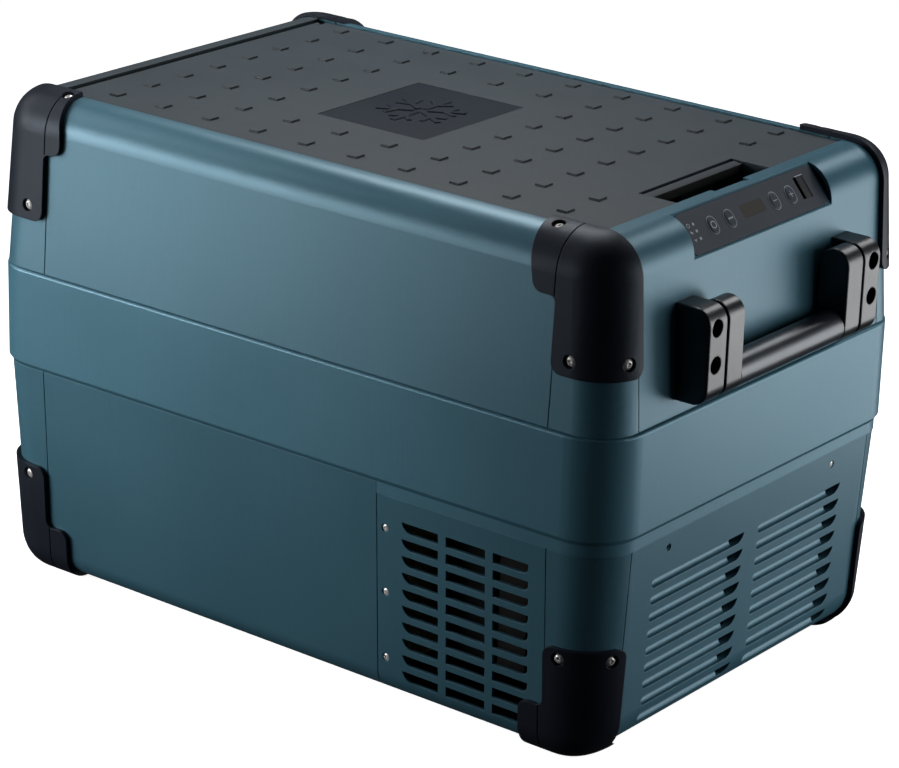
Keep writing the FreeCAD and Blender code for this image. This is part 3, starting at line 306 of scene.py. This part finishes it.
def circuit(name, colour):
    """Lacquered board with lighter tracks and dull gold pads."""
    f = Finish(name, 0.35, coat=0.3)
    tracks = f.cells(160.0, stretch=(1.0, 0.25, 1.0))
    pads = f.cells(420.0)
    tone = f.mix(f.spread(tracks, 0.3, 0.34), shade(colour, 0.7), shade(colour, 1.6))
    tone = f.mix(f.spread(pads, 0.0, 0.2), linear(120, 110, 84), tone)
    f.relief(tracks, 0.0001)
    return f.done(tone)


def window(name):
    """Smoked display window: dim amber specks and clouds show through it."""
    f = Finish(name, 0.42, specular=0.35)
    dots = f.cells(900.0)
    cloud = f.noise(300.0, 3.0, 0.6)
    tone = f.mix(f.spread(dots, 0.1, 0.45), linear(84, 72, 52), linear(60, 60, 60))
    tone = f.mix(f.spread(cloud, 0.4, 0.7, 0.0, 0.4), tone, linear(70, 62, 50))
    f.relief(cloud, 0.00002)
    return f.done(tone)


TEAL = linear(66, 109, 126)


def make_materials():
    return {
        "teal_paint": painted_teal("teal_paint", TEAL),
        "teal_band": painted_teal("teal_band", shade(TEAL, 1.18)),
        "guard_black": moulded("guard_black", linear(30, 34, 43), rough=0.42, grain=1100.0, depth=0.00005,
                               edge=0.0010, wear_and_highlight=1.5, specular=0.22, tint=(0.70, 0.84, 1.0)),
        "base_black": moulded("base_black", linear(15, 16, 17), rough=0.6, grain=700.0, depth=0.0001,
                              edge=0.0010, wear_and_highlight=1.3),
        "lid_grey": moulded("lid_grey", linear(54, 65, 72), rough=0.55, grain=1300.0, depth=0.00009,
                            edge=0.0007, wear_and_highlight=1.3, mottle=0.06, specular=0.28),
        "chevron": moulded("chevron", linear(44, 53, 61), rough=0.5, grain=1300.0, depth=0.00006,
                           edge=0.0005, wear_and_highlight=1.3, mottle=0.06, specular=0.3),
        "emblem": moulded("emblem", linear(21, 34, 46), rough=0.5, grain=1600.0, depth=0.00002,
                          edge=0.0004, wear_and_highlight=1.5, mottle=0.05, specular=0.15),
        "stainless": metal("stainless", linear(250, 249, 246), rough=0.3, metallic=0.35, specular=1.0),
        "handle_black": moulded("handle_black", linear(22, 23, 26), rough=0.34, grain=1400.0,
                                depth=0.00001, edge=0.0016, wear_and_highlight=1.6, specular=0.6, coat=0.35,
                                coat_roughness=0.25, tint=(0.88, 0.94, 1.0)),
        "grip_black": moulded("grip_black", linear(36, 39, 46), rough=0.36, grain=1400.0, depth=0.00001,
                              edge=0.0012, wear_and_highlight=1.5, specular=0.75, coat=0.25, coat_roughness=0.28,
                              tint=(0.80, 0.90, 1.0)),
        "black_steel": metal("black_steel", linear(40, 40, 42), rough=0.45),
        "fascia": moulded("fascia", linear(52, 61, 72), rough=0.5, grain=1500.0, depth=0.00005,
                          edge=0.0003, wear_and_highlight=1.3, mottle=0.05, specular=0.5),
        # the strong edge lightening on the keys is a painted highlight of their rounded rims
        "button": moulded("button", linear(60, 69, 80), rough=0.36, grain=1500.0, depth=0.00002,
                          edge=0.0006, wear_and_highlight=3.0, mottle=0.05),
        # light rim colour: painted highlight of the keys' rounded edges
        "key_highlight_rim": moulded("key_highlight_rim", linear(150, 160, 170), rough=0.3, grain=1500.0, depth=0.00001,
                           edge=0.0002, wear_and_highlight=1.4, mottle=0.05),
        "display": window("display"),
        "led": moulded("led", linear(180, 205, 212), rough=0.3, grain=1500.0, depth=0.00001, edge=0.0002,
                       wear_and_highlight=1.1, mottle=0.05, coat=0.4),
        "socket_black": moulded("socket_black", linear(24, 24, 26), rough=0.5, grain=900.0, depth=0.00004,
                                edge=0.0004, wear_and_highlight=1.4),
        "circuit": circuit("circuit", linear(14, 46, 28)),
        "liner_white": moulded("liner_white", linear(212, 215, 216), rough=0.35, grain=500.0,
                               depth=0.00008, edge=0.0012, wear_and_highlight=1.05, mottle=0.03),
        "foam": foam_core("foam", linear(226, 212, 168)),
        "gasket": moulded("gasket", linear(36, 36, 38), rough=0.7, grain=600.0, depth=0.0001, edge=0.0005,
                          wear_and_highlight=1.3),
        "copper": metal("copper", linear(205, 132, 96), rough=0.28),
        "compressor_black": moulded("compressor_black", linear(20, 20, 22), rough=0.6, grain=220.0,
                                    depth=0.0002, edge=0.0010, wear_and_highlight=1.5, specular=0.15),
        # aluminium set far darker than bare metal: painted shade for the machine bay seen through the
        # vents
        "aluminium": metal("aluminium", linear(70, 72, 74), rough=0.5, stretch=(1.0, 1.0, 0.1)),
        "basket_wire": metal("basket_wire", linear(212, 212, 212), rough=0.16, edge=0.0002),
        "print": moulded("print", linear(186, 196, 204), rough=0.5, grain=1500.0, depth=0.00001,
                         edge=0.0001, wear_and_highlight=1.1, mottle=0.05),
    }


def dress_frame(materials):
    lever_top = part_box("latch_lever")[1].z
    special = {
        "latch_lever": lever_plastic_with_recess_shade("lid_grey_lever", linear(52, 61, 69), lever_top),
        "usb_cover": moulded("usb_cover", linear(28, 31, 37), rough=0.5, grain=700.0, depth=0.00016,
                             edge=0.0004, wear_and_highlight=1.8, mottle=0.25),
    }
    for part in frame["record"]["subparts"]:
        for slot in frame["nodes"][part["node"]].material_slots:
            slot.material = special.get(part["node"], materials[part["material_slot"]])


# ---- added pieces ---------------------------------------------------------------

def new_piece(name, bm, material, body):
    """Turns bm into a flat-shaded object that rides on a body."""
    bmesh.ops.recalc_face_normals(bm, faces=bm.faces)
    mesh = bpy.data.meshes.new(name)
    bm.to_mesh(mesh)
    bm.free()
    mesh.materials.append(material)
    obj = bpy.data.objects.new(name, mesh)
    bpy.context.scene.collection.objects.link(obj)
    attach(obj, body)


def add_loft(bm, rings):
    """Joins rings of points, each the same length, into a closed skin."""
    rows = [[bm.verts.new(p) for p in ring] for ring in rings]
    n = len(rows[0])
    for low, high in zip(rows[:-1], rows[1:]):
        for k in range(n):
            bm.faces.new((low[k], low[(k + 1) % n], high[(k + 1) % n], high[k]))
    bm.faces.new(list(reversed(rows[0])))
    bm.faces.new(rows[-1])


def make_grip_pattern(materials):
    """Rows of small raised chevrons: steep on the near corner side, ramped away from it."""
    rows, first_y, pitch_y = 8, -137.5, 39.3
    columns, first_x, pitch_x = 10, -222.0, 49.0
    rise, low_edge, arm_x, arm_y, width = 1.6 * MM, 0.1 * MM, 9.5 * MM, 10.5 * MM, 3.6 * MM
    steep = 0.35 * MM
    sink = 0.0002
    recess_half = 0.064
    near, far = 0.01, 0.012         # bare ground left beside the emblem and the latch recess
    behind = 0.006

    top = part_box("lid_shell")[1].z
    emblem_low, emblem_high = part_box("emblem_plate")
    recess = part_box("latch_lever")[0].x
    plan = [(0, 0), (0, arm_y), (-width, arm_y), (-width, width), (-arm_x, width), (-arm_x, 0)]
    crest = [(-steep, steep, rise), (-steep, arm_y - steep, rise),
             (-width, arm_y - steep, low_edge), (-width, width, low_edge),
             (-arm_x + steep, width, low_edge), (-arm_x + steep, steep, rise)]
    bm = bmesh.new()
    for row in range(rows):
        y = (first_y + row * pitch_y) * MM
        for column in range(columns):
            x = (first_x + pitch_x * column) * MM
            in_emblem = emblem_low.x - near < x < emblem_high.x + far
            in_emblem = in_emblem and emblem_low.y - far < y < emblem_high.y + behind
            if in_emblem or (x > recess - far and abs(y) < recess_half):
                continue
            foot = [Vector((x + u, y + v, top - sink)) for u, v in plan]
            peak = [Vector((x + u, y + v, top + w)) for u, v, w in crest]
            add_loft(bm, [foot, peak])
    new_piece("lid_grip_chevrons", bm, materials["chevron"], "lid")


def add_bar(bm, a, b, half, z0, z1, place):
    """A straight raised bar with chamfered sides, drawn in plan and set by place."""
    a, b = Vector(a), Vector(b)
    along = (b - a).normalized()
    side = Vector((-along.y, along.x))
    chamfer = min(half * 0.5, (z1 - z0) * 0.6)
    rings = []
    for grow, z in ((0.0, z0), (0.0, z1 - chamfer), (-chamfer, z1)):
        w = half + grow
        corners = [a - along * grow - side * w, b + along * grow - side * w,
                   b + along * grow + side * w, a - along * grow + side * w]
        rings.append([place @ Vector((c.x, c.y, z)) for c in corners])
    add_loft(bm, rings)


def add_ring(bm, centre, radius, half, z0, z1, place, start=0.0, sweep=360.0):
    """A raised flat ring or part of one."""
    steps = 40
    whole = sweep >= 359.9
    count = steps if whole else steps + 1
    rows = []
    for k in range(count):
        a = math.radians(start + sweep * k / steps)
        row = []
        for r, z in ((radius - half, z0), (radius + half, z0), (radius + half, z1), (radius - half, z1)):
            point = Vector((centre[0] + r * math.cos(a), centre[1] + r * math.sin(a), z))
            row.append(bm.verts.new(place @ point))
        rows.append(row)
    last = count if whole else count - 1
    for k in range(last):
        low, high = rows[k], rows[(k + 1) % count]
        for i in range(4):
            j = (i + 1) % 4
            bm.faces.new((low[i], low[j], high[j], high[i]))
    if not whole:
        bm.faces.new(rows[0])
        bm.faces.new(rows[-1])


def add_oval_rim(bm, centre, half_w, half_h, width, z0, z1, place):
    """A raised rim round a key whose ends are half circles."""
    steps = 18
    straight = half_h - half_w
    rows = []
    for end in (0, 1):
        for k in range(steps + 1):
            a = math.pi * (end + k / steps)
            middle = centre[1] + (straight if end == 0 else -straight)
            row = []
            for r, z in ((half_w, z0), (half_w + width, z0), (half_w + width, z1), (half_w, z1)):
                point = Vector((centre[0] + r * math.cos(a), middle + r * math.sin(a), z))
                row.append(bm.verts.new(place @ point))
            rows.append(row)
    for k, low in enumerate(rows):
        high = rows[(k + 1) % len(rows)]
        for i in range(4):
            j = (i + 1) % 4
            bm.faces.new((low[i], low[j], high[j], high[i]))


def make_snowflake(materials):
    """The plain plate carries a generic frost star in low relief."""
    low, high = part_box("emblem_plate")
    middle = (low + high) / 2
    sink = 0.0001
    arm_start, arm_end, arm_half, arm_rise = 0.005, 0.036, 0.0026, 0.0012
    fork, tip_x, tip_y, fork_half, fork_rise = 0.019, 0.028, 0.0105, 0.0022, 0.0011
    place = Matrix.Translation((middle.x, middle.y, high.z - sink))
    bm = bmesh.new()
    for k in range(6):
        turn = place @ Matrix.Rotation(math.radians(60 * k + 30), 4, "Z")
        add_bar(bm, (arm_start, 0), (arm_end, 0), arm_half, 0, arm_rise, turn)
        for sign in (-1, 1):
            add_bar(bm, (fork, 0), (tip_x, sign * tip_y), fork_half, 0, fork_rise, turn)
    new_piece("emblem_frost_star", bm, materials["emblem"], "lid")


def panel_matrix():
    """Places drawing-plane points on the control panel: x along the panel, y up its slope, z out of it."""
    low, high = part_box("control_fascia")
    tilt = math.radians(50.5)
    u = Vector((0, 1, 0))
    v = Vector((-math.cos(tilt), 0, math.sin(tilt)))
    n = Vector((math.sin(tilt), 0, math.cos(tilt)))
    front = max(n.dot(vertex.co) for vertex in frame["nodes"]["control_fascia"].data.vertices)
    middle = Vector(((low.x + high.x) / 2, 0, (low.z + high.z) / 2))
    middle += n * (front - n.dot(middle))
    return Matrix.Translation(middle) @ Matrix((u, v, n)).transposed().to_4x4()


INK = 0.00012               # how far print stands off its ground


def make_panel_print(materials, place):
    """Plain signs beside the status lamps, and a dash near the panel's other end."""
    signs_x = -0.0795
    dash_y = 0.0113
    marks = bmesh.new()
    add_ring(marks, (signs_x, 0.006), 0.0015, 0.00022, 0.0, INK, place)
    add_bar(marks, (signs_x - 0.001, 0.0012), (signs_x + 0.001, -0.0006), 0.0007, 0.0, INK, place)
    add_bar(marks, (signs_x, -0.0070), (signs_x, -0.0052), 0.0005, 0.0, INK, place)
    add_ring(marks, (signs_x, -0.0048), 0.0012, 0.0002, 0.0, INK, place, 180.0, 180.0)
    add_bar(marks, (0.0652, dash_y), (0.0752, dash_y), 0.0003, 0.0, INK, place)
    new_piece("panel_print", marks, materials["print"], "root")


def make_key_rims(materials, place, nodes):
    """A thin raised rim round each key, clear of it all round; its light colour is a painted highlight of
    the keys' rounded edges.
    """
    gap, width, sink, rise = 0.0004, 0.0006, 0.0001, 0.0003
    rims = bmesh.new()
    back = place.inverted()
    for node in nodes:
        flat = [back @ vertex.co for vertex in frame["nodes"][node].data.vertices]
        across = [point.x for point in flat]
        up = [point.y for point in flat]
        centre = ((min(across) + max(across)) / 2, (min(up) + max(up)) / 2)
        half_w = (max(across) - min(across)) / 2 + gap
        half_h = (max(up) - min(up)) / 2 + gap
        add_oval_rim(rims, centre, half_w, half_h, width, -sink, rise, place)
    new_piece("panel_key_rims", rims, materials["key_highlight_rim"], "root")


def make_key_marks(materials, place, keys):
    """Each key's sign, printed on its face and moving with it."""
    key_top, sink = 0.00085, 0.00005
    stroke_reach, stroke_half = 0.0024, 0.00032
    dot_pitch, dot_half = 0.0021, 0.0007
    z0, z1 = key_top - sink, key_top + INK
    for node, (body, u, kind) in keys.items():
        bm = bmesh.new()
        if kind == "ring":
            add_ring(bm, (u, 0), 0.0027, 0.00035, z0, z1, place)
        if kind == "dots":
            for k in (-1, 0, 1):
                x = u + dot_pitch * k
                add_bar(bm, (x, -dot_half), (x, dot_half), dot_half, z0, z1, place)
        if kind in ("minus", "plus"):
            add_bar(bm, (u - stroke_reach, 0), (u + stroke_reach, 0), stroke_half, z0, z1, place)
        if kind == "plus":
            add_bar(bm, (u, -stroke_reach), (u, stroke_reach), stroke_half, z0, z1, place)
        new_piece(node + "_mark", bm, materials["print"], body)


def make_panel_marks(materials):
    place = panel_matrix()
    keys = {                # each key's body, its middle along the panel, and its sign
        "button_power": ("power_key", -0.0529, "ring"),
        "button_set": ("set_key", -0.0307, "dots"),
        "button_minus": ("minus_key", 0.0283, "minus"),
        "button_plus": ("plus_key", 0.0502, "plus"),
    }
    make_panel_print(materials, place)
    make_key_rims(materials, place, keys)
    make_key_marks(materials, place, keys)


def make_floor():
    """A white paper floor that shines a little by itself and lights nothing else."""
    half_size, glow, drop = 6.0, 0.92, 0.0004
    bm = bmesh.new()
    bmesh.ops.create_grid(bm, x_segments=8, y_segments=8, size=half_size)
    mesh = bpy.data.meshes.new("floor")
    bm.to_mesh(mesh)
    bm.free()
    f = Finish("floor_paper", 0.9, specular=0.2)
    paper = f.noise(40.0, 4.0, 0.6)
    f.relief(paper, 0.0002)
    colour = f.mix(f.spread(paper, 0.3, 0.7), (0.90, 0.90, 0.90, 1.0), (0.93, 0.93, 0.93, 1.0))
    f.bsdf.inputs["Emission Color"].default_value = (1.0, 1.0, 1.0, 1.0)
    f.bsdf.inputs["Emission Strength"].default_value = glow
    mesh.materials.append(f.done(colour))
    floor = bpy.data.objects.new("floor", mesh)
    floor.location.z = -drop
    floor.visible_diffuse = False
    floor.visible_glossy = False
    floor.visible_shadow = False
    bpy.context.scene.collection.objects.link(floor)


make_camera()
make_lights()
materials = make_materials()
dress_frame(materials)
make_grip_pattern(materials)
make_snowflake(materials)
make_panel_marks(materials)
make_floor()
